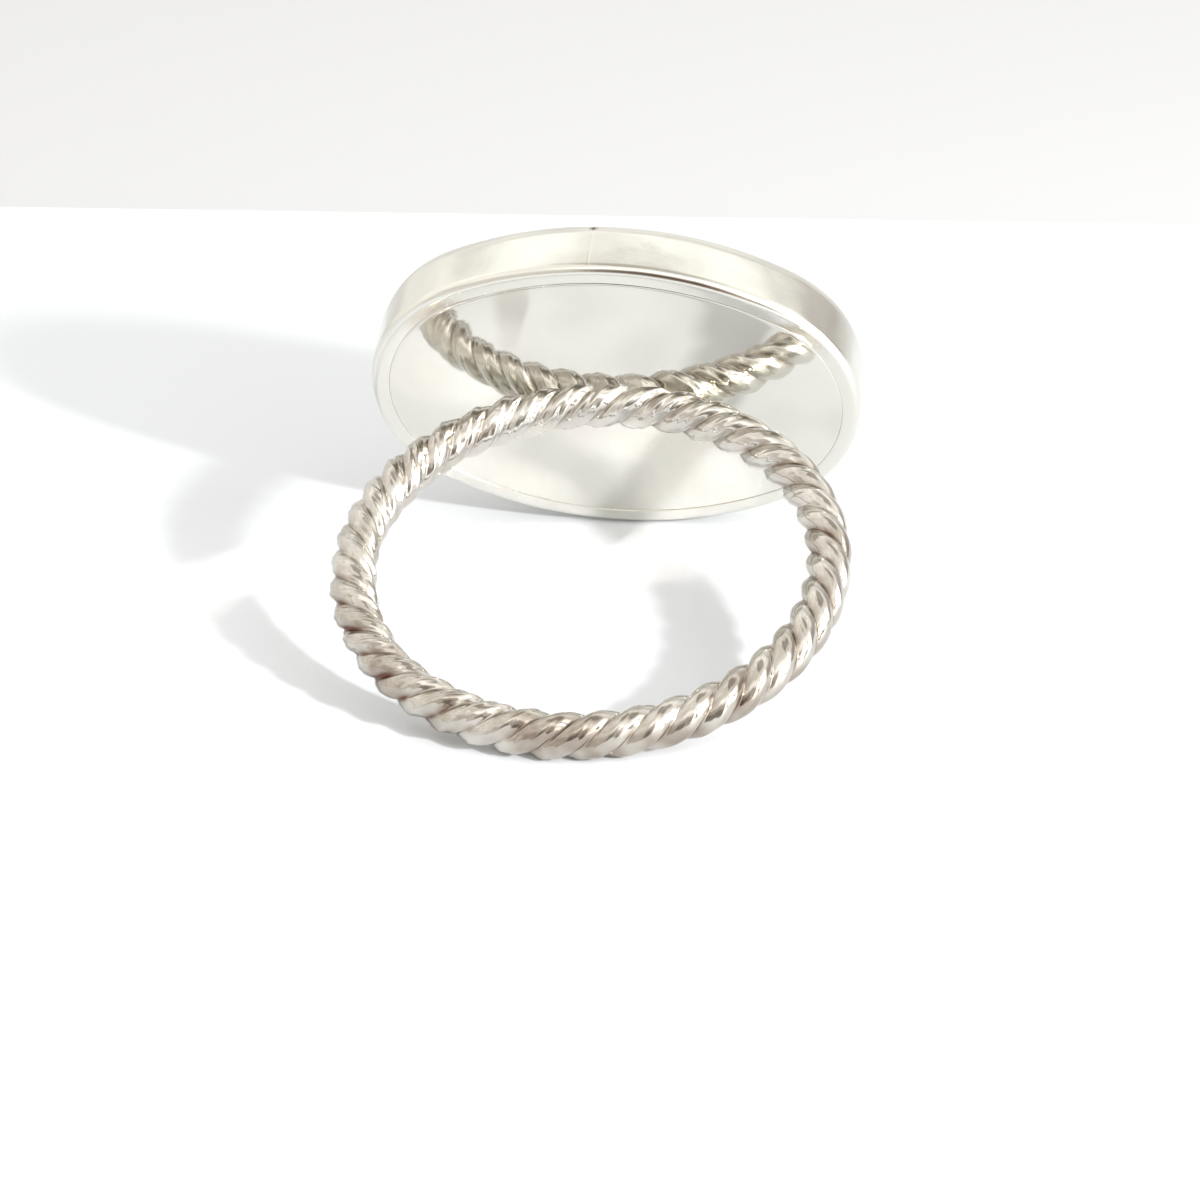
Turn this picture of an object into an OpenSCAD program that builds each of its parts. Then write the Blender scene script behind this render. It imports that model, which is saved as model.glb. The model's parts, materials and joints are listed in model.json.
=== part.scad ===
// Finger ring: an oval bezel setting with an agate cabochon, on a shank of twisted wire.
// It lies as it rests by itself, on the lower edge of the back plate and the far end of the shank.

/* [Setting] */
// Length of the oval setting, across the finger hole
setting_l = 21.7; // [20.1:0.2:24.1]
// Radius of the outline at both ends of the oval
end_r = 6.35; // [5.95:0.1:6.75]
// Height of the bezel, from the back of the plate to the lip
setting_h = 3.15; // [2.8:0.05:4]
// Thickness of the bezel strip, which shows as the rim round the back plate
wall_t = 0.85; // [0.6:0.05:1]
// Rounding of the strip's back edge
back_r = 0.25; // [0.1:0.05:0.3]
// Rounding of the lip, where the strip is pressed over the stone
lip_r = 0.45; // [0.3:0.05:0.5]
// How far the lip reaches in over the stone
lip_over = 0.3; // [0.2:0.05:0.5]
// Thickness of the back plate
plate_t = 0.8; // [0.7:0.05:1]
// Width of the seam between strip and plate
seam_w = 0.12; // [0.08:0.01:0.2]
// Depth of the seam between strip and plate
seam_depth = 0.06; // [0.04:0.01:0.1]
// Turn of the setting on the shank, clockwise seen from behind, in degrees
setting_turn = 3.5; // [0:0.5:5]

/* [Shank] */
// Inside diameter of the finger hole
finger_d = 18.1; // [16:0.1:20]
// Diameter of the twisted wire
rope_d = 1.95; // [1.6:0.05:2.2]
// Strand crests round the whole shank
crests = 41; // [30:1:45]
// Depth of the wire that is filed off and sunk in the solder at the back plate
rope_sink = 0.65; // [0.4:0.05:0.7]
// Angle of the first valley between strands, at the right of the finger hole
twist_start = 95; // [0:5:115]

/* [Stone] */
// Height of the dome over the stone's edge
dome_h = 2.4; // [1.5:0.1:3]
// Gap between the stone and the metal
stone_gap = 0.06; // [0.03:0.01:0.1]

/* [Hidden] */
$fn = 96;
SILVER = "#d6d3cc";
AGATE = "#a86f4a";
eps = 0.01;
past = 1; // how far a cutting solid reaches past what it cuts

// The oval is four arcs: two ends of end_r and two flanks of flank_r, each tangent to its
// neighbours. An arc's offset is an arc, so the strip is as thick all round. The lines
// through the arcs' centres, where the arcs meet, have the sides 8, 15 and 17.
end_x = setting_l / 2 - end_r;
flank_y = end_x * 15 / 8;
flank_r = end_r + end_x * 17 / 8;
setting_w = 2 * (flank_r - flank_y);
join = 2; // how far the joining lines are drawn, as a multiple of 8 and 15

// The lip: it starts to lean in just under the stone's edge, falls a little from its top to
// its tip, and thins out there
lip_bend = 0.1;
lip_fall = 0.3;
lip_shoulder = 0.08;
lip_tip_t = 0.15;

// The stone's edge sits this far under the lip's top
lip_drop = 0.75;
girdle_z = setting_h - lip_drop;
stone_l = setting_l - 2 * (wall_t + stone_gap);
stone_w = setting_w - 2 * (wall_t + stone_gap);
dome_long_r = (pow(stone_l / 2, 2) + dome_h * dome_h) / (2 * dome_h);
dome_cross_r = (pow(stone_w / 2, 2) + dome_h * dome_h) / (2 * dome_h);

// Shank: strands is fixed, because the twist closes on itself at any whole number of crests.
// The strands are pressed together, so the valleys between them are shallow and narrow
strands = 3;
rope_r = rope_d / 2;
shank_r = finger_d / 2 + rope_r;
shank_back = shank_r + rope_r - rope_sink;
reach = shank_back + shank_r;
valley_share = 0.7; // radius in a valley, as a share of rope_r
fullness = 0.6; // power of the sine between two valleys: the lower, the fuller the strands
steps_per_crest = 5;
points_per_strand = 6;

// How it lies. The low edge of the plate and the far end of the shank both touch z = 0:
// low_edge * cos(lean) - (reach + back_r) * sin(lean) = rope_r - back_r
low_side = flank_r - flank_y * cos(setting_turn);
low_edge = low_side - back_r;
lean_arm = norm([low_edge, reach + back_r]);
lean = acos((rope_r - back_r) / lean_arm) - atan2(reach + back_r, low_edge);
lift = reach * sin(lean) + rope_r;
// The middle of the overall box is at y = 0
far_y = -(reach * cos(lean) + rope_r);
rim_y = (setting_h - lip_r) * cos(lean) + (low_side - lip_r) * sin(lean) + lip_r;
dome_y = (girdle_z + dome_h - dome_cross_r) * cos(lean) + dome_cross_r;
middle_y = (far_y + max(rim_y, dome_y)) / 2;

// Puts a piece that is modelled with the back plate's back at z = 0 and its middle at
// the origin into the resting place
module lie() {
    translate([0, -middle_y, lift]) rotate([lean, 0, 0]) children();
}

// Turns a piece that is modelled flat, plate down, so that its front faces +Y
module face_away() {
    rotate([-90, 0, 0]) rotate([0, 0, setting_turn]) children();
}

// The part of the plane that a flank arc bounds, above the long axis
module flank_field() {
    polygon([
        [-end_x, 0],
        [end_x, 0],
        [end_x + 8 * join, 15 * join],
        [-end_x - 8 * join, 15 * join]
    ]);
}

// The part of the plane that the right end arc bounds
module end_field() {
    polygon([
        [end_x, 0],
        [end_x + 8 * join, 15 * join],
        [end_x + 8 * join, -15 * join]
    ]);
}

// The four-arc oval as a flat shape, moved in by inset
module oval(inset) {
    for (side = [0, 1]) mirror([side, 0]) intersection() {
        translate([end_x, 0]) circle(r = end_r - inset);
        end_field();
    }
    for (side = [0, 1]) mirror([0, side]) intersection() {
        translate([0, -flank_y]) circle(r = flank_r - inset);
        flank_field();
    }
}

// Cross-section of the bezel strip: x is the depth from the outside, y the height
module strip_section() {
    tip_x = wall_t + lip_over;
    tip_y = setting_h - lip_fall;
    difference() {
        polygon([
            [0, 0],
            [wall_t, 0],
            [wall_t, girdle_z - lip_bend],
            [tip_x, tip_y - lip_tip_t],
            [tip_x, tip_y],
            [wall_t, setting_h - lip_shoulder],
            [lip_r, setting_h],
            [0, setting_h]
        ]);
        difference() {
            translate([-eps, -eps]) square(back_r + eps);
            translate([back_r, back_r]) circle(r = back_r);
        }
        difference() {
            translate([-eps, setting_h - lip_r]) square([lip_r + eps, lip_r + eps]);
            translate([lip_r, setting_h - lip_r]) circle(r = lip_r);
        }
    }
}

// The strip's section turned round a full circle, of which each arc uses a part
module strip_ring(arc_r) {
    rotate_extrude() translate([arc_r, 0]) mirror([1, 0]) strip_section();
}

// A field of the plane as a solid, taller than the strip
module tall() {
    translate([0, 0, -past]) linear_extrude(setting_h + 2 * past) children();
}

module bezel_strip() {
    for (side = [0, 1]) mirror([side, 0, 0]) intersection() {
        translate([end_x, 0, 0]) strip_ring(end_r);
        tall() end_field();
    }
    for (side = [0, 1]) mirror([0, side, 0]) intersection() {
        translate([0, -flank_y, 0]) strip_ring(flank_r);
        tall() flank_field();
    }
}

// The plate is let into the strip. Its back edge is cut away to leave the seam line
module back_plate() {
    linear_extrude(plate_t / 2) oval(wall_t + seam_w);
    translate([0, 0, seam_depth]) linear_extrude(plate_t - seam_depth) oval(wall_t / 2);
}

// Distance of the rope's surface from its middle, at an angle from the valley between
// two strands. It rises to rope_r on each strand's crest
function rope_profile(angle) =
    let (into = angle / (360 / strands))
    rope_r * (valley_share + (1 - valley_share) * pow(sin(180 * into), fullness));

// A point on the rope: place is the angle round the shank, around the angle round the rope
function rope_point(place, around, r) = [
    (shank_r + r * cos(around)) * cos(place),
    (shank_r + r * cos(around)) * sin(place),
    r * sin(around)
];

// Twisted wire bent to a closed ring, as one solid. The section turns with the twist,
// so the rows of points follow the strands. The last ring meets the first one a
// strand or two further round, which is the same shape
module twisted_shank() {
    rings = crests * steps_per_crest;
    points = strands * points_per_strand;
    twist_shift = (crests % strands) * points_per_strand;
    ring_points = [
        for (i = [0 : rings - 1])
            let (place = 360 * i / rings, twist = twist_start + 360 / strands * i / steps_per_crest)
            for (j = [0 : points - 1])
                let (part = 360 * j / points)
                rope_point(place, twist + part, rope_profile(part % (360 / strands)))
    ];
    function index(i, j) =
        i < rings ? i * points + j % points : (j + twist_shift) % points;
    faces = [
        for (i = [0 : rings - 1])
            for (j = [0 : points - 1])
                each [
                    [index(i, j), index(i, j + 1), index(i + 1, j + 1)],
                    [index(i, j), index(i + 1, j + 1), index(i + 1, j)]
                ]
    ];
    translate([0, -shank_back, 0]) polyhedron(ring_points, faces);
}

// Strip, plate and shank are soldered together
module setting() {
    color(SILVER) lie() {
        face_away() bezel_strip();
        face_away() back_plate();
        twisted_shank();
    }
}

// Low oval dome: an upright oval cut from a barrel that is round both ways
module stone() {
    color(AGATE) lie() face_away() intersection() {
        translate([0, 0, plate_t + stone_gap])
            linear_extrude(setting_h + dome_h) oval(wall_t + stone_gap);
        translate([0, 0, girdle_z + dome_h - dome_cross_r]) rotate([0, 90, 0])
            rotate_extrude() intersection() {
                translate([dome_cross_r - dome_long_r, 0]) circle(r = dome_long_r, $fn = 4 * $fn);
                translate([0, -setting_l / 2]) square([2 * dome_cross_r, setting_l]);
            }
    }
}

setting();
stone();
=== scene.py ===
# %% [markdown]
# # A silver ring of twisted wire, seen from behind
#
# This lesson dresses a finger ring. Its oval setting is a bezel: a strip of silver bent round
# a stone, closed behind by a back plate. Its shank is a closed loop of three wires twisted
# together and soldered to the middle of the plate. The ring lies as it would by itself, on the
# low edge of the plate and the far end of the loop, and we look at the plate from behind.
#
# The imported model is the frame. It fixes every size and place, and nothing here moves it.

# %% Load the frame
import json
import math

import bpy
import numpy as np
from mathutils import Matrix, Vector, noise


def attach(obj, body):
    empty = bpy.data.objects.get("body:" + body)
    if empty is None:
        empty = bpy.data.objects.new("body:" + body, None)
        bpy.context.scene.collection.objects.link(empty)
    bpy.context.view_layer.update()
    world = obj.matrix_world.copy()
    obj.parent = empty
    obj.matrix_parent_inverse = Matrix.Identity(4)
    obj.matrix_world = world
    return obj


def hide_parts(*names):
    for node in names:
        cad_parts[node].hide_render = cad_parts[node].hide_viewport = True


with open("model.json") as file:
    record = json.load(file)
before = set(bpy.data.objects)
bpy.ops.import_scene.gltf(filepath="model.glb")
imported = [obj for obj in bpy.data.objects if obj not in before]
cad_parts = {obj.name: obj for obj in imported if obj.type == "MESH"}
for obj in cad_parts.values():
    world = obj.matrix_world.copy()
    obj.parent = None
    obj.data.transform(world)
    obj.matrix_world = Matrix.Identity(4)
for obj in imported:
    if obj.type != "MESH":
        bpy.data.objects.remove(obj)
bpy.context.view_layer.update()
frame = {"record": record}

MM = 0.001

# %% [markdown]
# ## Where the camera stands
#
# The photograph was taken from above the far end of the loop and a little to its right. The
# camera is placed from what it looks at: a point on the table under the setting, how far away
# it is, and the angles. A long lens keeps the loop from looking swollen in front.

# %% Camera
LOOK_AT = Vector((-0.223, 2.184, 0)) * MM
CAMERA_DISTANCE = 174 * MM
CAMERA_AZIMUTH = 7.711
CAMERA_ELEVATION = 26.908
CAMERA_ROLL = -1.983


def pointing_to(azimuth, elevation):
    """The direction of an azimuth and an elevation in degrees: 0 is in front, 90 is right."""
    turn, rise = math.radians(azimuth), math.radians(elevation)
    return Vector((
        math.sin(turn) * math.cos(rise),
        -math.cos(turn) * math.cos(rise),
        math.sin(rise),
    ))


back = pointing_to(CAMERA_AZIMUTH, CAMERA_ELEVATION)
camera_data = bpy.data.cameras.new("camera")
camera_data.sensor_width = 36
camera_data.lens = 120
camera_data.clip_start = 0.01
camera = bpy.data.objects.new("camera", camera_data)
camera.location = LOOK_AT + back * CAMERA_DISTANCE
upright = (-back).to_track_quat("-Z", "Y").to_matrix()
roll = Matrix.Rotation(math.radians(CAMERA_ROLL), 3, "Z")
camera.rotation_euler = (upright @ roll).to_euler()
bpy.context.scene.collection.objects.link(camera)
bpy.context.scene.camera = camera
print("camera at", [round(c / MM, 1) for c in camera.location], "mm")

# %% [markdown]
# ## The ring's own frame
#
# A ring is easiest to describe upright: x along the setting, y the way that the stone faces,
# z out of the loop's plane, and the middle of the plate's back at the origin. The record gives
# the middle and the axis of the finger hole in the resting place, and that is enough to carry
# points from the ring's frame to the table. The rope is filed and sunk a little into the
# plate, so the loop's middle stands that much closer to it. All sizes are in millimetres.

# %% Ring frame
hole = next(m for m in frame["record"]["mounts"] if m["name"] == "finger_hole")
hole_middle = np.array(hole["pos_m"]) / MM
ring_z = np.array(hole["axis"])
ring_x = np.array([1.0, 0.0, 0.0])
ring_y = np.cross(ring_z, ring_x)

ROPE_D = hole["dims"]["length_mm"]
ROPE_R = ROPE_D / 2
LOOP_R = hole["dims"]["r_mm"] + ROPE_R
ROPE_SINK = 0.65
LOOP_BACK = LOOP_R + ROPE_R - ROPE_SINK
ring_origin = hole_middle + ring_y * LOOP_BACK


def to_table(points):
    """Points of the ring's frame, in mm, as points on the table, in metres."""
    axes = np.array([ring_x, ring_y, ring_z])
    return (ring_origin + np.asarray(points, float) @ axes) * MM


print("plate's middle", np.round(ring_origin, 3), "lean", round(math.degrees(math.asin(ring_y[2])), 2))

# %% [markdown]
# ## Making a piece from points and faces
#
# Every piece of this ring follows a rule: a section carried along an outline. So each one
# becomes rows of points and a list of faces between them. The strip and the rope are closed
# bands, and the plate and the stone are closed discs. One helper turns points and faces into a
# smooth piece that rides on the ring.


# %% Piece helper
def make_piece(name, points, faces, material):
    """A smooth piece from points of the ring's frame, in mm."""
    mesh = bpy.data.meshes.new(name)
    mesh.from_pydata(to_table(points).tolist(), [], faces)
    mesh.validate()
    mesh.shade_smooth()
    mesh.materials.append(material)
    piece = bpy.data.objects.new(name, mesh)
    bpy.context.scene.collection.objects.link(piece)
    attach(piece, "root")
    triangles = sum(len(p.vertices) - 2 for p in mesh.polygons)
    print(name, len(mesh.vertices), "points", triangles, "triangles")
    return piece


# %% Faces of bands and discs
def row_faces(row, next_row, columns, turn=0):
    """Faces between two closed rows of points, the second one turned by some points. row and
    next_row are the numbers of their first points."""
    faces = []
    for j in range(columns):
        k = (j + 1) % columns
        faces.append((row + j, row + k, next_row + (k + turn) % columns, next_row + (j + turn) % columns))
    return faces


def band_faces(rows, columns, turn=0):
    """Faces of a closed band. Its last row joins the first one, turned by some points."""
    faces = []
    for i in range(rows - 1):
        faces += row_faces(i * columns, (i + 1) * columns, columns)
    return faces + row_faces((rows - 1) * columns, 0, columns, turn)


def disc_faces(rows, columns):
    """Faces of a closed disc. Its two middle points come after the rows, and a fan of
    triangles joins each of them to the first or the last row."""
    first_middle = rows * columns
    last_middle = first_middle + 1
    faces = [(first_middle, (j + 1) % columns, j) for j in range(columns)]
    for i in range(rows - 1):
        faces += row_faces(i * columns, (i + 1) * columns, columns)
    last = (rows - 1) * columns
    return faces + [(last_middle, last + j, last + (j + 1) % columns) for j in range(columns)]


# %% [markdown]
# ## Polished silver
#
# Silver that was polished by hand is a clear mirror with a faint haze. Its colour is slightly
# warm. Three things keep it from looking like chrome: shallow waves that polishing leaves, a
# haze that comes and goes, and tarnish. Tarnish starts as a thin greyish film where fingers
# touch, and ends as a thick reddish brown in corners where no cloth reaches. Waves and haze lie
# anywhere, so they are noises. Tarnish has its places, so each piece says how much it has at
# each point, in one attribute, and a ramp turns that into the two colours. The same attribute
# and the thin colour also carry painted shade: a dark patch painted on the plate, a painted
# reflection of a darker place that the plate mirrors.


# %% Material helpers
def add_node(tree, kind, values=None):
    """A new node with some of its sockets set."""
    node = tree.nodes.new(kind)
    for socket, value in (values or {}).items():
        node.inputs[socket].default_value = value
    return node


def new_material(name):
    """A material, and its tree and shader."""
    material = bpy.data.materials.new(name)
    material.use_nodes = True
    return material, material.node_tree, material.node_tree.nodes["Principled BSDF"]


# %% Silver
SILVER = (0.74, 0.73, 0.68, 1)
WORN_SILVER = (0.70, 0.68, 0.637, 1)
# The thin film's colour is also the colour of the dark patch painted on the plate, which is painted shade
THIN_TARNISH_AND_SHADE = (0.40, 0.355, 0.305, 1)
THICK_TARNISH = (0.13, 0.065, 0.045, 1)
# The amount of tarnish and painted shade, from 0 to 1, that has the colour of the thin film
THIN_AT = 0.45
# Scale of the haze, and the noise values where it starts and where it is full
HAZE_SCALE = 450
HAZE_STARTS = 0.35
HAZE_FULL = 0.7


def silver(name, tone, clear, hazy, wave, wave_scale):
    """Silver of a tone, with roughness from clear to hazy, and waves with a depth in mm."""
    material, tree, shader = new_material(name)
    links = tree.links
    shader.inputs["Metallic"].default_value = 1.0
    place = add_node(tree, "ShaderNodeTexCoord").outputs["Object"]

    haze = add_node(tree, "ShaderNodeTexNoise", {"Scale": HAZE_SCALE, "Detail": 4})
    haze_range = {"From Min": HAZE_STARTS, "From Max": HAZE_FULL, "To Min": clear, "To Max": hazy}
    amount = add_node(tree, "ShaderNodeMapRange", haze_range)
    links.new(place, haze.inputs["Vector"])
    links.new(haze.outputs["Fac"], amount.inputs["Value"])
    links.new(amount.outputs["Result"], shader.inputs["Roughness"])

    tarnish_and_shade = add_node(tree, "ShaderNodeAttribute")
    tarnish_and_shade.attribute_name = "tarnish_and_shade"
    colour = add_node(tree, "ShaderNodeValToRGB")
    colour.color_ramp.elements.new(THIN_AT)
    for element, shade in zip(colour.color_ramp.elements, (tone, THIN_TARNISH_AND_SHADE, THICK_TARNISH)):
        element.color = shade
    links.new(tarnish_and_shade.outputs["Fac"], colour.inputs["Fac"])
    links.new(colour.outputs["Color"], shader.inputs["Base Color"])

    waves = add_node(tree, "ShaderNodeTexNoise", {"Scale": wave_scale, "Detail": 3})
    bump = add_node(tree, "ShaderNodeBump", {"Strength": 1.0, "Distance": wave * MM})
    links.new(place, waves.inputs["Vector"])
    links.new(waves.outputs["Fac"], bump.inputs["Height"])
    links.new(bump.outputs["Normal"], shader.inputs["Normal"])
    return material


polished_wall = silver("polished_wall", SILVER, clear=0.13, hazy=0.25, wave=0.012, wave_scale=900)
mirror_plate = silver("mirror_plate", SILVER, clear=0.04, hazy=0.10, wave=0.004, wave_scale=700)
worn_wire = silver("worn_wire", WORN_SILVER, clear=0.05, hazy=0.14, wave=0.012, wave_scale=1700)
print("silver finishes", polished_wall.name, mirror_plate.name, worn_wire.name)


# %% Tarnish, painted shade and noise helpers
def paint_tarnish_and_shade(piece, amounts):
    """Sets the tarnish and painted shade of each point of a piece, from 0, clean, to 1, dark brown."""
    tarnish_and_shade = piece.data.attributes.new("tarnish_and_shade", "FLOAT", "POINT")
    tarnish_and_shade.data.foreach_set("value", np.clip(amounts, 0, 1))


def noise_at(points, per_mm, start=(0, 0, 0)):
    """Smooth noise at points in mm, from about -1 to 1."""
    return np.array([noise.noise(Vector(point) * per_mm + Vector(start)) for point in points])


# %% [markdown]
# ## The oval outline
#
# A bezel strip is as thick all round, so its outline has to keep its shape when it is moved
# in. An oval of four arcs does: two tight ends and two wide flanks that meet smoothly, where
# the lines through the arcs' centres have the sides 8, 15 and 17. Each station on the outline
# keeps its arc's centre, radius and direction, and an inset just shortens the radius. The
# strip's ends meet on the upper flank, and the stations stand closer together at that joint.

# %% Oval stations
SETTING_L = 21.7
END_R = 6.35
END_X = SETTING_L / 2 - END_R
FLANK_Y = END_X * 15 / 8
FLANK_R = END_R + END_X * 17 / 8
END_HALF = math.atan2(15, 8)
FLANK_HALF = math.pi / 2 - END_HALF
UPPER, LOWER = math.pi / 2, 3 * math.pi / 2
STATION_SPACING = 0.12
JOINT_X = -1.2
JOINT_ANGLE = UPPER - math.asin(JOINT_X / FLANK_R)
# The stations at the joint, in mm from it
JOINT_STEPS = (-0.09, -0.05, -0.025, 0, 0.025, 0.05, 0.09)

oval_arcs = [
    # centre, radius, middle direction and half of the arc's angle
    ((END_X, 0), END_R, 0, END_HALF),
    ((0, -FLANK_Y), FLANK_R, UPPER, FLANK_HALF),
    ((-END_X, 0), END_R, math.pi, END_HALF),
    ((0, FLANK_Y), FLANK_R, LOWER, FLANK_HALF),
]


def oval_stations():
    """Rows of centre x, centre y, radius and direction, anticlockwise from the right end."""
    rows = []
    for (x, y), radius, middle, half in oval_arcs:
        count = round(2 * half * radius / STATION_SPACING)
        angles = [middle - half + 2 * half * i / count for i in range(count)]
        if middle == UPPER:
            near = (JOINT_STEPS[-1] + STATION_SPACING / 2) / FLANK_R
            angles = [a for a in angles if abs(a - JOINT_ANGLE) > near]
            angles = sorted(angles + [JOINT_ANGLE - step / FLANK_R for step in JOINT_STEPS])
        rows += [(x, y, radius, a) for a in angles]
    return np.array(rows)


stations = oval_stations()
setting_w = 2 * (FLANK_R - FLANK_Y)
print("oval", SETTING_L, "by", round(setting_w, 2), "mm,", len(stations), "stations")

# %% Points on the oval
SETTING_TURN = math.radians(3.5)


def oval_points(inset):
    """The outline moved in by an inset: how far along and across each station's point is."""
    x, y, radius, angle = stations.T
    return x + (radius - inset) * np.cos(angle), y + (radius - inset) * np.sin(angle)


def from_setting(along, across, height):
    """Points of the setting, which sits slightly turned on the shank, in the ring's frame."""
    c, s = math.cos(SETTING_TURN), math.sin(SETTING_TURN)
    x, y, z = np.broadcast_arrays(along * c + across * s, height, across * c - along * s)
    return np.stack([x, y, z], -1)


# %% [markdown]
# ## Sections with rounded corners
#
# No edge of a polished ring is sharp. A section is drawn as a plain outline with a radius at
# each corner, and this helper replaces each corner by a short arc. The arcs catch the thin
# bright and dark lines that make polished metal read as metal.

# %% Rounding
ARC_STEPS = 7


def rounded(corners):
    """A closed section from rows of x, y and corner radius."""
    section = []
    for i, (x, y, radius) in enumerate(corners):
        here = np.array([x, y])
        if radius == 0:
            section.append(here)
            continue
        before = np.array(corners[i - 1][:2]) - here
        after = np.array(corners[(i + 1) % len(corners)][:2]) - here
        before /= np.linalg.norm(before)
        after /= np.linalg.norm(after)
        half = math.acos(np.clip(before @ after, -1, 1)) / 2
        inwards = (before + after) / np.linalg.norm(before + after)
        centre = here + inwards * radius / math.sin(half)
        start = here + before * radius / math.tan(half) - centre
        end = here + after * radius / math.tan(half) - centre
        sweep = math.pi - 2 * half
        for t in np.linspace(0, 1, ARC_STEPS + 1):
            start_share = math.sin((1 - t) * sweep) / math.sin(sweep)
            end_share = math.sin(t * sweep) / math.sin(sweep)
            section.append(centre + start * start_share + end * end_share)
    return np.array(section)


# %% [markdown]
# ## The bezel strip
#
# The strip is flat wire, 0.85 mm thick, bent to the oval and soldered end to end. The hairline
# of that joint shows at the top, with one pinhole in the solder. The strip's front is burnished
# in over the stone, so its wall leans in near the lip. A strip bent by hand is never a perfect
# cylinder: the wall is crowned and wavers by a few hundredths of a millimetre. That is what
# breaks the reflections into soft patches. A curve with a bevel would make the strip as well,
# but rows of points can be moved one by one, and these small faults need that. From about the
# joint to the right, a fine dark line is painted along the back edge, and it fades out at both
# ends.

# %% Strip section
SETTING_H = 3.15
WALL_T = 0.85
WALL_STEPS = 14
BACK_R = 0.4
INNER_BACK_R = 0.04
# The wall leans in from this height, by this much up to the lip
LEAN_FROM = 2.5
LEAN_BEND_R = 1.5
LIP_LEAN = 0.12
LIP_R = 0.4
LIP_FLAT = 0.03
SHOULDER = 0.08
# The lip reaches in over the stone's edge, falls, and thins out at its tip
LIP_OVER = 0.3
TIP_DROP = 0.3
TIP_T = 0.15
TIP_UNDER_R = 0.03
TIP_OVER_R = 0.06
# Inside, the strip turns in just under the stone's edge
GIRDLE_Z = 2.4
TURN_IN = 0.1
TURN_IN_R = 0.05
# The straight wall's own points keep clear of the bends above and below
CLEAR_ABOVE = 0.2
CLEAR_BELOW = 0.05

tip = WALL_T + LIP_OVER
wall_heights = np.linspace(LEAN_FROM - CLEAR_ABOVE, BACK_R + CLEAR_BELOW, WALL_STEPS)
strip_section = rounded([
    (WALL_T, SETTING_H - SHOULDER, 0),
    (LIP_LEAN + LIP_R + LIP_FLAT, SETTING_H, 0),
    (LIP_LEAN, SETTING_H, LIP_R),
    (0, LEAN_FROM, LEAN_BEND_R),
    *[(0, height, 0) for height in wall_heights],
    (0, 0, BACK_R),
    (WALL_T, 0, INNER_BACK_R),
    (WALL_T, GIRDLE_Z - TURN_IN, TURN_IN_R),
    (tip, SETTING_H - TIP_DROP - TIP_T, TIP_UNDER_R),
    (tip, SETTING_H - TIP_DROP, TIP_OVER_R),
])
print("strip section", len(strip_section), "points")

# %% Joint of the strip
JOINT_DEPTH = 0.004
JOINT_W = 0.03
PINHOLE_AT = 2.82
PINHOLE_R = 0.09


def joint_marks():
    """How deep the joint's groove is at each station, in mm, and where the pinhole is."""
    depth, height = strip_section.T
    away = np.abs(stations[:, 3:] - JOINT_ANGLE) * FLANK_R
    groove = JOINT_DEPTH * np.exp(-((away / JOINT_W) ** 2))
    from_pinhole = np.hypot(away, height - PINHOLE_AT)
    pinhole = np.exp(-((from_pinhole / PINHOLE_R) ** 2)) * (depth < WALL_T / 2)
    return groove, pinhole


groove, pinhole = joint_marks()
print("joint", round(groove.max() * 1000, 1), "micrometres deep")

# %% Bezel strip
CROWN = 0.03
WAVER = 0.03
# Long and short wavering of the wall, in waves per mm, and the share of the short one
LONG_WAVER = 0.3
SHORT_WAVER = 0.9
SHORT_SHARE = 0.4
PINHOLE_DEPTH = 0.1
# Up to this height the joint's groove shows on the flat rim too
RIM_H = 0.1


def strip_surface():
    """How far along, across and up each point of the strip is, a row for each station."""
    x, y, radius, angle = stations.T[:, :, None]
    depth, height = strip_section.T
    wall = [(along, across, h) for along, across in zip(*oval_points(0)) for h in height]
    stray = noise_at(wall, LONG_WAVER) + SHORT_SHARE * noise_at(wall, SHORT_WAVER)
    outer = np.clip(1 - depth / WALL_T * 2, 0, 1)
    bulge = CROWN * (1 - (2 * height / SETTING_H - 1) ** 2)
    dip = WAVER * (1 + stray.reshape(len(x), -1)) + groove + PINHOLE_DEPTH * pinhole
    reach = radius - depth - outer * (CROWN - bulge + dip)
    rim = np.clip(1 - height / RIM_H, 0, 1)
    return x + reach * np.cos(angle), y + reach * np.sin(angle), height + rim * groove


strip_along, strip_across, strip_up = strip_surface()
strip_points = from_setting(strip_along, strip_across, strip_up).reshape(-1, 3)
strip_faces = band_faces(len(stations), len(strip_section))
strip = make_piece("bezel_strip", strip_points, strip_faces, polished_wall)

# %% Tarnish and painted dark line of the strip
PINHOLE_TARNISH = 1.5
# A dark line painted along the back edge, from about the joint to the right: its depth, height, width and
# ends
EDGE_LINE_DEPTH = 0.16
EDGE_LINE_UP = 0.08
EDGE_LINE_R = 0.065
EDGE_LINE_FROM = -2.0
EDGE_LINE_TO = 7.5


def strip_pinhole_and_dark_line():
    """Brown in the pinhole, and a painted dark line along the back edge, from the joint to the right."""
    depth, height = strip_section.T
    from_line = np.hypot(depth - EDGE_LINE_DEPTH, height - EDGE_LINE_UP)
    line = np.exp(-((from_line / EDGE_LINE_R) ** 2))
    share = (strip_along[:, :1] - EDGE_LINE_FROM) / (EDGE_LINE_TO - EDGE_LINE_FROM)
    fade = np.sin(math.pi * np.clip(share, 0, 1)) * (strip_across[:, :1] > 0)
    return np.maximum(PINHOLE_TARNISH * pinhole, line * fade).ravel()


paint_tarnish_and_shade(strip, strip_pinhole_and_dark_line())
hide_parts("setting")

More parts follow.
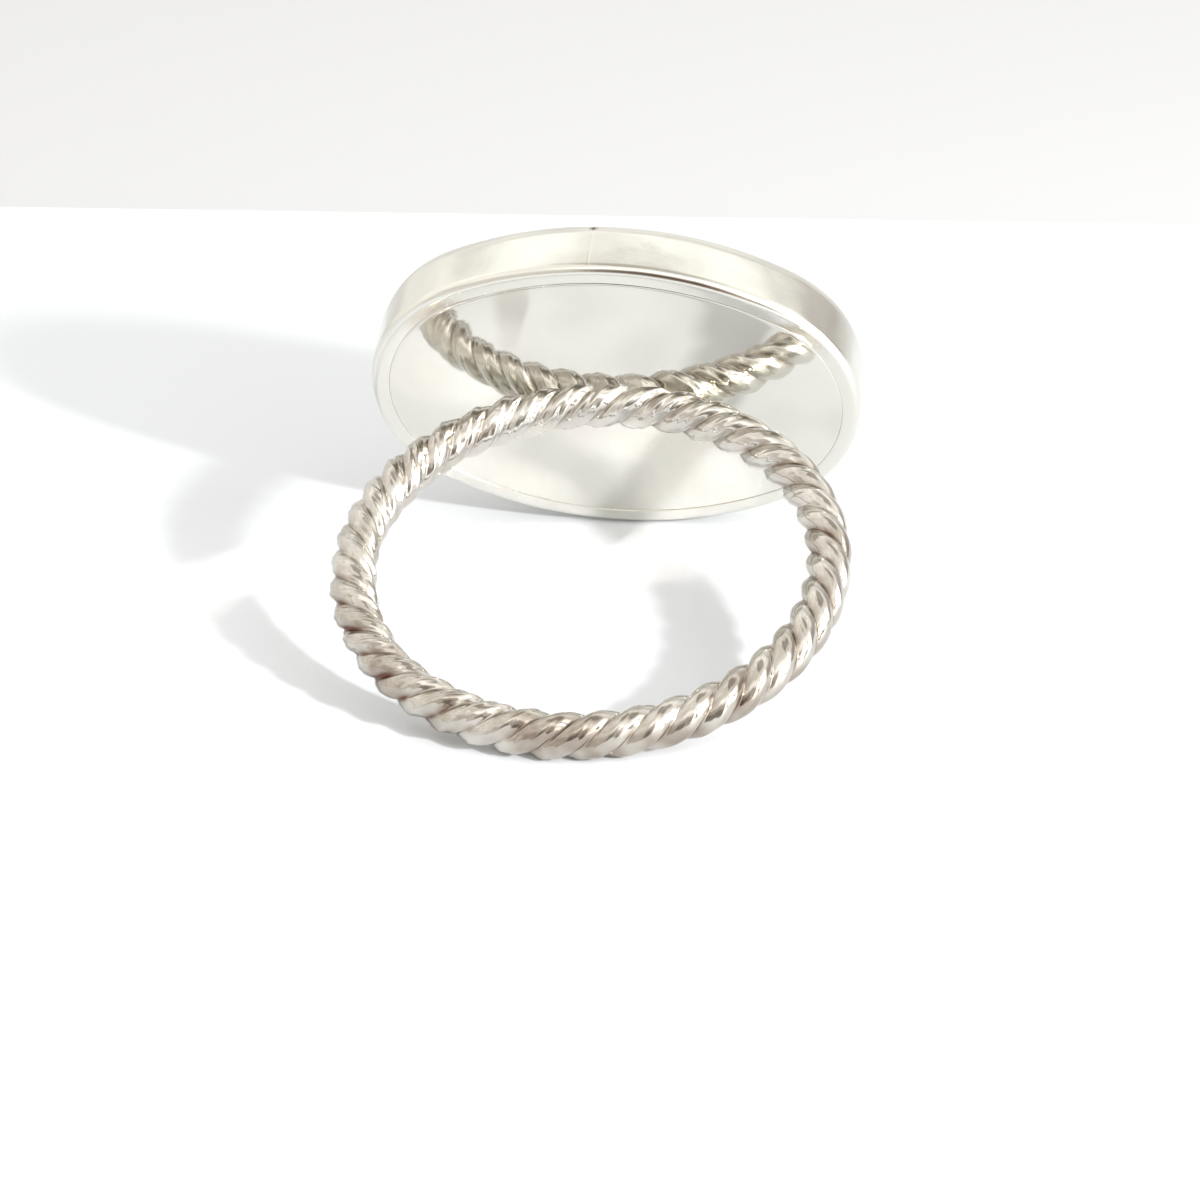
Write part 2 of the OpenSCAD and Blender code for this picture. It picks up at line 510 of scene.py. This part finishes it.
# %% [markdown]
# ## The back plate
#
# The plate is let into the strip from behind and filed level, which leaves a fine seam all
# round. It is polished to a mirror. Most of what the photograph shows on it is a reflection:
# the second arc of twisted wire is the shank, seen in the plate. So the plate has to be nearly
# flat, with the slight pillowing that a polishing wheel leaves, and solder drawn up round the
# foot of the shank. Both are made as one height over the oval, because a height has no edge
# where plate and solder meet. The seam is open at the top and nearly rubbed shut lower down.

# %% Height of the plate
PILLOW = 0.03
PILLOW_POWER = 6
RIPPLE = 0.009
RIPPLE_ENDS = 1 / 6
RIPPLES = [
    # radians per mm along x, radians per mm along z, and radians at the middle
    (0.9, 0.7, 0.4),
    (-0.5, 1.1, 1.2),
]
FILLET = 0.25
FILLET_TOP = 0.2
SOLDERED_SHARE = 0.9


def solder_height(x, z):
    """How high the solder stands at a place on the plate, drawn up round the shank."""
    from_middle = np.hypot(x, LOOP_BACK) - LOOP_R
    gap = np.hypot(from_middle, z) - ROPE_R * SOLDERED_SHARE
    return np.minimum(np.maximum(FILLET - gap, 0) ** 2 / (4 * FILLET), FILLET_TOP)


def plate_height(x, z, share):
    """Height of the plate's back over its flat, towards the finger. share runs from 0 in the
    middle to 1 at the edge, where the plate is filed level with the strip."""
    fall = np.clip((1 - share) / RIPPLE_ENDS, 0, 1)
    ripple = np.prod([np.sin(a * x + b * z + start) for a, b, start in RIPPLES], axis=0)
    return -PILLOW * share**PILLOW_POWER + RIPPLE * ripple * fall + solder_height(x, z)


print("solder stands up to", round(float(solder_height(0, 0)), 2), "mm high")

# %% Back plate
PLATE_T = 0.8
PLATE_RINGS = 64
SEAM_W = 0.1
SEAM_DEPTH = 0.07
SEAM_FLOOR = -0.01
SEAM_ROWS = [
    # inset from the strip and depth in mm, and the share of the seam's brown
    (SEAM_W * 0.7, 0.012, 0.2),
    (SEAM_W * 0.4, 0.035, 0.7),
    (SEAM_FLOOR, SEAM_DEPTH, 1),
]
# How open the seam is at the ring's middle, how much more per mm upwards, and at least
OPEN_MIDDLE = 0.2
OPEN_RISE = 1 / 9
OPEN_LEAST = 0.1


def back_plate():
    """Rows of points: the back from its middle to its edge, the seam, and the front edge."""
    along, across = oval_points(WALL_T + SEAM_W)
    rows = []
    for share in np.linspace(0, 1, PLATE_RINGS + 1)[1:]:
        row = from_setting(along * share, across * share, 0)
        row[:, 1] = -plate_height(row[:, 0], row[:, 2], share)
        rows.append(row)
    edge = rows[-1]
    openness = np.clip(OPEN_MIDDLE + edge[:, 2] * OPEN_RISE, OPEN_LEAST, 1)
    for inset, depth, _ in SEAM_ROWS:
        rows.append(from_setting(*oval_points(WALL_T + inset), edge[:, 1] + depth * openness))
    rows.append(from_setting(*oval_points(WALL_T + SEAM_FLOOR), PLATE_T))
    return rows


plate_rows = back_plate()
plate_middles = [[0, -plate_height(0, 0, 0), 0], [0, PLATE_T, 0]]
plate_points = np.concatenate([*plate_rows, plate_middles])
plate_faces = disc_faces(len(plate_rows), len(stations))
plate = make_piece("back_plate", plate_points, plate_faces, mirror_plate)

# %% [markdown]
# ## Tarnish and painted shade on the plate
#
# Two kinds of tarnish show: brown in the open seam, most at the top, and a cloudy film here and
# there on the plate. The brown and the film follow a noise. One dark patch on the left is
# painted shade, a painted reflection of a darker place that the plate mirrors. It has a place,
# so it is drawn from its edges. It reaches up to the seam, and its right edge slants and is
# sharp. The other edges are soft.

# %% Tarnish and painted shade of the plate
UNEVEN_PER_MM = 0.5
# Brown in the seam: how much more per mm upwards, how much less at the middle, and at most
SEAM_BROWN_RISE = 0.12
SEAM_BROWN_START = 0.3
SEAM_BROWN_MOST = 0.8
# The painted dark patch, a painted reflection: its left edge, and its right edge, which slants from its
# bottom to its top
PAINTED_PATCH_LEFT = -4.85
PAINTED_PATCH_TOP, PAINTED_PATCH_BOTTOM = 5.5, 2.87
PAINTED_PATCH_RIGHT_TOP, PAINTED_PATCH_RIGHT_BOTTOM = -3.36, -4.17
PAINTED_PATCH_SHARE = 0.15
SHARP_EDGE = 0.15
SOFT_EDGE = 0.5
# The cloudy film at most, and where its noise is read
FILM = 0.07
FILM_MIDDLE = 0.4
FILM_CONTRAST = 1.5
FILM_PER_MM = 0.4
FILM_START = (3.0, 1.0, 8.0)


def inside(distance, blur):
    """0 outside an edge and 1 inside it, with a blur between, in mm."""
    return np.clip(distance / blur + 0.5, 0, 1)


def plate_tarnish_and_shade():
    """Brown in the seam, the painted dark patch and the film, for each point of the plate."""
    skin = plate_points[:-len(plate_middles)]
    x, z = skin[:, 0], skin[:, 2]
    uneven = noise_at(skin, UNEVEN_PER_MM)
    row_shares = [0] * PLATE_RINGS + [brown for _, _, brown in SEAM_ROWS] + [1]
    brown = np.clip(SEAM_BROWN_RISE * z - SEAM_BROWN_START + uneven, 0, SEAM_BROWN_MOST)
    in_seam = np.repeat(row_shares, len(stations)) * brown
    # A dark patch painted on the left: painted shade that stands in for a darker place in the plate's
    # reflection
    right_edge = np.interp(z, (PAINTED_PATCH_BOTTOM, PAINTED_PATCH_TOP), (PAINTED_PATCH_RIGHT_BOTTOM, PAINTED_PATCH_RIGHT_TOP))
    painted_patch = inside(right_edge - x, SHARP_EDGE) * inside(x - PAINTED_PATCH_LEFT, SOFT_EDGE)
    painted_patch *= inside(z - PAINTED_PATCH_BOTTOM, SOFT_EDGE) * PAINTED_PATCH_SHARE * (1 + uneven)
    cloudy = noise_at(skin, FILM_PER_MM, FILM_START)
    film = FILM * np.clip(FILM_MIDDLE + FILM_CONTRAST * cloudy, 0, 1)
    return np.append(np.maximum(in_seam, painted_patch + film), [0, 0])


paint_tarnish_and_shade(plate, plate_tarnish_and_shade())
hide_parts("setting")

# %% [markdown]
# ## The section of the rope
#
# Three round wires twisted together touch along crevices. A cut across the rope shows three
# lobes, each a slice through a slanting wire. Three swept tubes would be quicker to make, but
# they would pass through each other, and their crevices would be endlessly sharp. So the helper
# finds the lobe from the distance to the wire's own centre line, and rounds the crevice out as
# solder and polish do. That small hollow is what catches the lamp between two wires.

# %% Rope section
CRESTS = 41
STRANDS = 3
WIRE_R = 0.54
WIRE_OUT = ROPE_R - WIRE_R
LEAD = 2 * math.pi * LOOP_R / (CRESTS / STRANDS)
LOBE_POINTS = 30
LOBE_LEAST = 0.05
HALVINGS = 30
CREVICE_FILL = 0.03
# Places along the wire that are looked at, as turns round the rope in radians
wire_turns = np.linspace(-1.6, 1.6, 801)


def lobe(angle):
    """Distance from the rope's middle to a wire's skin, at an angle from the wire's crest."""
    low, high = LOBE_LEAST, ROPE_R
    slant = (LEAD * wire_turns / (2 * math.pi)) ** 2
    for _ in range(HALVINGS):
        r = (low + high) / 2
        gap = WIRE_OUT**2 + r**2 - 2 * WIRE_OUT * r * np.cos(angle - wire_turns) + slant
        if gap.min() < WIRE_R**2:
            low = r
        else:
            high = r
    return low


def joined_lobe(angle):
    """The lobe with the crevice beside it rounded out, as solder and polish leave it."""
    here = lobe(angle)
    beside = lobe(2 * math.pi / STRANDS - abs(angle))
    return here + CREVICE_FILL * math.log1p(math.exp((beside - here) / CREVICE_FILL))


lobe_angles = np.linspace(-math.pi / STRANDS, math.pi / STRANDS, LOBE_POINTS + 1)[:-1]
lobe_radii = np.array([joined_lobe(angle) for angle in lobe_angles])
print("lead", round(LEAD, 2), "mm, crest", round(lobe_radii.max(), 3), "valley", round(lobe_radii.min(), 3))

# %% [markdown]
# ## Wear on the wires
#
# The wires were drawn, twisted and polished by hand, and worn since. Their skin has long
# shallow flats and small dents, which break each highlight into streaks. Three noises do this,
# from long flats that follow the wire to small dents, and the left half of the loop has more
# of them than the right. The noise is read on a circle as long as all three windings of the
# wire, so it runs on where one winding passes into the next.

# %% Wear
WEAR_LAYERS = [
    # waves per mm along, waves per radian across, depth in mm
    (0.5, 2.1, 0.12),
    (1.5, 3.2, 0.05),
    (2.8, 4.2, 0.02),
]
# How far apart the layers are read in the noise, so that they don't look alike
LAYERS_APART = 7
# Wear round the loop: the place with the least, the middle amount and how much it swings
LEAST_WORN_AT = -0.3
WEAR_SHARE = 0.55
WEAR_SWING = 0.37
WIRE_LENGTH = STRANDS * 2 * math.pi * LOOP_R


def wear(place, strand, angle):
    """Depth of wear, in mm, at a place round the loop and an angle across one wire's lobe."""
    along = (place + 2 * math.pi * (strand * 2 % STRANDS)) / STRANDS
    depth = 0
    for layer, (waves, across, most) in enumerate(WEAR_LAYERS):
        reach = waves * WIRE_LENGTH / (2 * math.pi)
        side = across * angle + LAYERS_APART * layer
        depth += most * noise.noise((reach * math.cos(along), reach * math.sin(along), side))
    share = WEAR_SHARE - WEAR_SWING * math.cos(place - LEAST_WORN_AT)
    return depth * share * (1 - (angle * STRANDS / math.pi) ** 4)


print("wire", round(WIRE_LENGTH), "mm long, wear at the start", round(wear(0, 0, 0), 4), "mm")

# %% [markdown]
# ## The twisted shank
#
# The section turns as it goes round the loop, so the rows of points run along the wires and
# the shine stays smooth. With 41 crests the last row meets the first one two wires further
# round, and the faces there are turned by as much. The rope is cut off flat inside the plate,
# where it was filed before it was soldered.

# %% Shank
STEPS_PER_CREST = 16
TWIST_START = math.radians(95)
FILED_AT = 0.3

rope_rings = CRESTS * STEPS_PER_CREST
places = 2 * math.pi * np.arange(rope_rings) / rope_rings
twists = TWIST_START + math.pi / STRANDS + places * CRESTS / STRANDS
lobe_starts = 2 * math.pi * np.arange(STRANDS) / STRANDS
around = twists[:, None] + np.add.outer(lobe_starts, lobe_angles).ravel()
worn = np.array([[wear(p, s, a) for s in range(STRANDS) for a in lobe_angles] for p in places])


def shank_points():
    """Points of the rope, a row for each place round the loop."""
    radii = np.tile(lobe_radii, STRANDS) + worn
    out = LOOP_R + radii * np.cos(around)
    x = out * np.cos(places)[:, None]
    y = np.minimum(out * np.sin(places)[:, None] - LOOP_BACK, FILED_AT)
    z = radii * np.sin(around)
    return np.stack([x, y, z], -1).reshape(-1, 3)


shank_faces = band_faces(rope_rings, STRANDS * LOBE_POINTS, CRESTS % STRANDS * LOBE_POINTS)
shank = make_piece("twisted_shank", shank_points(), shank_faces, worn_wire)

# %% [markdown]
# ## Tarnish on the shank
#
# Cloth and skin reach the crests and not the crevices. So the crevices are brown, more on the
# right of the loop than on the left, and most at their outer ends on the lower left. Small
# dents hold a little too. The rest has a thin grey film where fingers touch the wire, more at
# the far end of the loop, and none where the wire faces the plate. These amounts are one sum
# for each point, and a noise makes the whole of it uneven, as real tarnish is.

# %% Tarnish of the shank
# Brown in crevices: everywhere, and how much more at a place on the right of the loop
CREVICE_BROWN = 0.1
MORE_BROWN = 0.32
MORE_BROWN_AT = 0.4
CREVICE_POWER = 3
# Brown at the outer ends of the crevices on the lower left
ENDS_BROWN = 1.1
ENDS_AT = 3.6
ENDS_SPREAD = 0.6
# The thin film, and how much it swings between the far end and the plate
FILM_BROWN = 0.34
FILM_SHARE = 0.62
FILM_SWING = 0.34
DENT_BROWN = 0.08
# Long and short unevenness, in waves per mm, and the share of the short one
LONG_UNEVEN = 0.6
SHORT_UNEVEN = 2.3
SHORT_UNEVEN_SHARE = 0.5
UNEVEN_UP = 0.1


def shank_tarnish():
    """Brown in the crevices and dents, and the thin film, for each point of the shank."""
    place = places[:, None]
    low = np.tile(((ROPE_R - lobe_radii) / (ROPE_R - lobe_radii.min())) ** CREVICE_POWER, STRANDS)
    outwards = np.maximum(0, np.cos(around))
    more = CREVICE_BROWN + MORE_BROWN * np.maximum(0, np.cos(place - MORE_BROWN_AT))
    ends = np.exp(-(((place - ENDS_AT) / ENDS_SPREAD) ** 2)) * outwards
    facing_plate = np.maximum(0, np.cos(around) * np.sin(place))
    film = (1 - facing_plate) * (FILM_SHARE - FILM_SWING * np.sin(place))
    dent = np.maximum(0, -worn) / WEAR_LAYERS[0][2]
    amounts = more * low + FILM_BROWN * film + DENT_BROWN * dent + ENDS_BROWN * ends * low
    spots = np.broadcast_arrays(np.cos(place), np.sin(place), np.sin(around) * UNEVEN_UP)
    spots = np.stack(spots, -1).reshape(-1, 3) * LOOP_R
    uneven = 1 + noise_at(spots, LONG_UNEVEN) + SHORT_UNEVEN_SHARE * noise_at(spots, SHORT_UNEVEN)
    return amounts.ravel() * uneven


paint_tarnish_and_shade(shank, shank_tarnish())
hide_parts("setting")

# %% [markdown]
# ## The agate
#
# The stone faces away and the photograph doesn't show it. It is finished as a usual banded
# agate cabochon: a low dome, its edge under the lip of the strip. Real agate has bands that
# were laid down one on another, and a wave texture of rings with some distortion is the
# plainest way to them. The polish is a clear coat over a slightly duller stone.

# %% Agate finish
AGATE_SHADES = [
    # place on the ramp, colour
    (0.0, (0.11, 0.04, 0.02, 1)),
    (0.35, (0.25, 0.10, 0.045, 1)),
    (0.6, (0.42, 0.25, 0.15, 1)),
    (0.8, (0.62, 0.52, 0.41, 1)),
    (1.0, (0.30, 0.14, 0.07, 1)),
]
BANDS = {"Scale": 260, "Distortion": 5, "Detail": 3, "Detail Scale": 1.3}


def agate():
    """Banded stone under a clear polish."""
    material, tree, shader = new_material("agate")
    shader.inputs["Roughness"].default_value = 0.16
    shader.inputs["Coat Weight"].default_value = 1.0
    shader.inputs["Coat Roughness"].default_value = 0.03
    place = add_node(tree, "ShaderNodeTexCoord")
    bands = add_node(tree, "ShaderNodeTexWave", BANDS)
    bands.wave_type = "RINGS"
    ramp = add_node(tree, "ShaderNodeValToRGB")
    elements = ramp.color_ramp.elements
    while len(elements) < len(AGATE_SHADES):
        elements.new(0.5)
    for element, (at, shade) in zip(elements, AGATE_SHADES):
        element.position = at
        element.color = shade
    tree.links.new(place.outputs["Object"], bands.inputs["Vector"])
    tree.links.new(bands.outputs["Fac"], ramp.inputs["Fac"])
    tree.links.new(ramp.outputs["Color"], shader.inputs["Base Color"])
    return material


# %% Cabochon
DOME_H = 2.4
STONE_GAP = 0.06
STONE_RINGS = 40


def dome_height(along, across):
    """Height of the barrel's skin, round both ways, over the girdle's level."""
    half_l = SETTING_L / 2 - WALL_T - STONE_GAP
    half_w = setting_w / 2 - WALL_T - STONE_GAP
    long_r = (half_l**2 + DOME_H**2) / (2 * DOME_H)
    cross_r = (half_w**2 + DOME_H**2) / (2 * DOME_H)
    spine = cross_r - long_r + np.sqrt(long_r**2 - along**2)
    return DOME_H - cross_r + np.sqrt(np.maximum(spine**2 - across**2, 0))


def cabochon():
    """Rows of points: the dome from its top to its edge, and the edge of its flat back."""
    edge_along, edge_across = oval_points(WALL_T + STONE_GAP)
    rows = []
    for share in np.linspace(0, 1, STONE_RINGS + 1)[1:]:
        along, across = edge_along * share, edge_across * share
        rows.append(from_setting(along, across, GIRDLE_Z + dome_height(along, across)))
    rows.append(from_setting(edge_along, edge_across, PLATE_T + STONE_GAP))
    return rows


stone_rows = cabochon()
stone_middles = [[0, GIRDLE_Z + DOME_H, 0], [0, PLATE_T + STONE_GAP, 0]]
stone_points = np.concatenate([*stone_rows, stone_middles])
stone_faces = [tuple(reversed(face)) for face in disc_faces(len(stone_rows), len(stations))]
stone = make_piece("agate_cabochon", stone_points, stone_faces, agate())
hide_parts("stone")

# %% [markdown]
# ## The table
#
# The ring lies on a white sheet that ends behind it, over a light table. Two flat faces are
# enough for that. They are far larger than the picture shows, because the plate and the wires
# mirror them nearly out to the horizon.

# %% Table
SHEET_HALF = 400
SHEET_END = 47.4
SHEET_DROP = 0.4
TABLE_HALF = 900
PAPER_GLOSS = 0.2


def flat_sheet(name, half, end, level, colour, roughness):
    """A level face, in mm, that ends at a line behind the ring."""
    corners = [(-half, -half), (half, -half), (half, end), (-half, end)]
    mesh = bpy.data.meshes.new(name)
    mesh.from_pydata([(x * MM, y * MM, level * MM) for x, y in corners], [], [(0, 1, 2, 3)])
    material, _, shader = new_material(name)
    shader.inputs["Base Color"].default_value = colour
    shader.inputs["Roughness"].default_value = roughness
    shader.inputs["Specular IOR Level"].default_value = PAPER_GLOSS
    mesh.materials.append(material)
    sheet = bpy.data.objects.new(name, mesh)
    bpy.context.scene.collection.objects.link(sheet)
    print(name, "ends", end, "mm behind the ring's middle")


flat_sheet("white_sheet", SHEET_HALF, SHEET_END, 0, (0.672, 0.695, 0.728, 1), 0.6)
flat_sheet("table", TABLE_HALF, TABLE_HALF, -SHEET_DROP, (0.58, 0.588, 0.604, 1), 0.7)

# %% [markdown]
# ## The key lamp
#
# One soft lamp stands low in front on the right, so the setting throws a long pale shadow to
# the back left. The plate mirrors the lamp too, down onto the sheet, and that second light
# washes out the loop's shadow close to the setting. All other light comes from the room.


# %% Lamp
def soft_lamp(name, place, size, power, colour):
    """A round lamp at a place in mm, which shines on the ring."""
    data = bpy.data.lights.new(name, "AREA")
    data.shape = "DISK"
    data.size = size * MM
    data.energy = power
    data.color = colour
    lamp = bpy.data.objects.new(name, data)
    lamp.location = Vector(place) * MM
    lamp.rotation_euler = Vector(place).to_track_quat("Z", "Y").to_euler()
    bpy.context.scene.collection.objects.link(lamp)
    print(name, round(Vector(place).length), "mm away")


soft_lamp("low_lamp", (144, -108, 85), size=14, power=0.48, colour=(1.0, 0.99, 0.97))

# %% [markdown]
# ## The room
#
# A mirror shows only what is round it, so the room matters more for silver than any lamp. The
# room is painted on the world by direction: a light ceiling, and patches of light and shade on
# it. Real walls and windows could be built instead, but patches are easier to move and quicker
# to render. A direction is taken in two parts: where it points on the level, and how high.

# %% Directions in the room
world = bpy.data.worlds.new("room")
bpy.context.scene.world = world
world.use_nodes = True
room_tree = world.node_tree


def vector_math(operation, vector, by=None):
    """A node that works on a direction, and with a second one if it is given."""
    node = add_node(room_tree, "ShaderNodeVectorMath")
    node.operation = operation
    room_tree.links.new(vector, node.inputs[0])
    if by is not None:
        node.inputs[1].default_value = by
    return node.outputs


direction = add_node(room_tree, "ShaderNodeTexCoord").outputs["Generated"]
on_level = vector_math("MULTIPLY", direction, (1, 1, 0))["Vector"]
on_level = vector_math("NORMALIZE", on_level)["Vector"]
parts = add_node(room_tree, "ShaderNodeSeparateXYZ")
room_tree.links.new(direction, parts.inputs[0])
how_high = parts.outputs["Z"]


# %% Painting a patch
def step_between(value, start, end):
    """1 where a value has passed end, 0 before start, and a smooth step between."""
    step = add_node(room_tree, "ShaderNodeMapRange", {"From Min": start, "From Max": end})
    step.interpolation_type = "SMOOTHSTEP"
    room_tree.links.new(value, step.inputs["Value"])
    return step.outputs["Result"]


def times(a, b):
    """The product of two values, which is 1 where both are 1."""
    product = add_node(room_tree, "ShaderNodeMath")
    product.operation = "MULTIPLY"
    room_tree.links.new(a, product.inputs[0])
    room_tree.links.new(b, product.inputs[1])
    return product.outputs["Value"]


def round_cover(vector, middle, size, blur):
    """1 where a direction is within size degrees of a middle, and 0 further away."""
    closeness = vector_math("DOT_PRODUCT", vector, middle)["Value"]
    outer = math.cos(math.radians(min(size + blur, 180)))
    inner = math.cos(math.radians(max(size - blur, 0)))
    return step_between(closeness, outer, inner)


def paint_over(under, cover, shade):
    """One shade over a colour, wherever cover is 1."""
    mix = add_node(room_tree, "ShaderNodeMix")
    mix.data_type = "RGBA"
    mix.inputs["B"].default_value = (*shade, 1)
    room_tree.links.new(under, mix.inputs["A"])
    room_tree.links.new(cover, mix.inputs["Factor"])
    return mix.outputs["Result"]


def patch(under, azimuth, spread, low, high, blur, shade):
    """Paints a patch of one shade over what is under it. All angles are in degrees."""
    bounds = (low - blur, low + blur, high + blur, high - blur)
    below, bottom, above, top = (math.sin(math.radians(e)) for e in bounds)
    cover = round_cover(on_level, pointing_to(azimuth, 0), spread, blur)
    cover = times(cover, step_between(how_high, below, bottom))
    cover = times(cover, step_between(how_high, above, top))
    return paint_over(under, cover, shade)


# %% [markdown]
# ## Light and shade in the room
#
# Each patch has an azimuth and a spread to both sides, a lowest and a highest elevation, and a
# blur. A few do most of the work. The narrow dark one in front draws the fine dark line
# along the rim. The window with its bars and the light wall in front give every wire a bright
# outline, and the round dim patch overhead fills that outline with grey. A noise over all of it
# stands for the small things in a room, and gives the wires their small lights and darks.

# %% Room
CEILING_LOW = (0.80, 0.77, 0.72, 1)
CEILING_HIGH = (1.0, 0.975, 0.92, 1)
CEILING_HIGH_AT = 0.7
ROOM_PATCHES = [
    # name, azimuth, spread, lowest and highest elevation, blur, shade
    ("dim left side", -88, 75, -90, 41, 5, (0.43, 0.39, 0.36)),
    ("lighter part on the left", -35, 25, 5, 40, 10, (0.66, 0.62, 0.58)),
    ("brown ceiling behind", 180, 40, 62, 85, 8, (0.42, 0.38, 0.31)),
    ("white wall behind", 180, 60, 44, 60, 7, (1.10, 1.09, 1.05)),
    ("grey wall behind", 180, 45, 0, 42, 9, (0.78, 0.77, 0.74)),
    ("dim corner on the right", 125, 24, 0, 30, 8, (0.48, 0.45, 0.43)),
    ("bright window", 65, 30, -8, 48, 5, (2.6, 2.6, 2.55)),
    ("upright bar of the window", 60, 3, 0, 46, 2, (0.5, 0.5, 0.48)),
    ("bar across the window", 65, 30, 20, 24, 2, (0.5, 0.5, 0.48)),
    ("light in front", 22, 42, 44, 62, 6, (1.45, 1.44, 1.40)),
    ("grey shape in front", 6, 24, -30, 43, 5, (0.66, 0.62, 0.57)),
    ("dark shape in front", 6, 14, 3, 27, 3, (0.28, 0.26, 0.23)),
]
OVERHEAD = pointing_to(150, 78)
OVERHEAD_SIZE = 17
OVERHEAD_BLUR = 6
OVERHEAD_SHADE = (0.46, 0.43, 0.39)

ceiling = add_node(room_tree, "ShaderNodeValToRGB")
ceiling.color_ramp.elements[0].color = CEILING_LOW
ceiling.color_ramp.elements[1].color = CEILING_HIGH
ceiling.color_ramp.elements[1].position = CEILING_HIGH_AT
room_tree.links.new(how_high, ceiling.inputs["Fac"])
room = ceiling.outputs["Color"]
for _, *angles, shade in ROOM_PATCHES:
    room = patch(room, *angles, shade)
overhead = round_cover(direction, OVERHEAD, OVERHEAD_SIZE, OVERHEAD_BLUR)
room = paint_over(room, overhead, OVERHEAD_SHADE)
print("room patches", [name for name, *_ in ROOM_PATCHES], "and one overhead")

# %% Strength of the room
CLUTTER = {"Scale": 5, "Detail": 3}
CLUTTER_RANGE = {"From Min": 0.4, "From Max": 0.6, "To Min": 1.14, "To Max": 1.46}

clutter = add_node(room_tree, "ShaderNodeTexNoise", CLUTTER)
strength = add_node(room_tree, "ShaderNodeMapRange", CLUTTER_RANGE)
background = room_tree.nodes["Background"]
room_tree.links.new(direction, clutter.inputs["Vector"])
room_tree.links.new(clutter.outputs["Fac"], strength.inputs["Value"])
room_tree.links.new(room, background.inputs["Color"])
room_tree.links.new(strength.outputs["Result"], background.inputs["Strength"])
print("room light from", CLUTTER_RANGE["To Min"], "to", CLUTTER_RANGE["To Max"])

# %% [markdown]
# ## How the picture is worked out
#
# Silver mirrors silver here: light goes from the room to the rope, on to the plate, and from
# there to the camera. Five glossy bounces are enough for that, and two diffuse ones for the
# sheet. The room is so large and even that rays find it by themselves, so it isn't sampled as a
# lamp, which saves about a third of the time. Polished wire lives from its glints, so no clamp
# takes them down, and light that comes by way of a mirror is blurred a little to keep grain
# low. The plain view transform keeps whites as light as the photograph has them.

# %% Picture settings
scene = bpy.context.scene
scene.view_settings.view_transform = "Standard"
scene.cycles.blur_glossy = 0.1
scene.cycles.sample_clamp_indirect = 0
scene.cycles.diffuse_bounces = 2
scene.cycles.glossy_bounces = 5
scene.cycles.max_bounces = 6
world.cycles.sampling_method = "NONE"
print("bounces", scene.cycles.max_bounces, "view", scene.view_settings.view_transform)
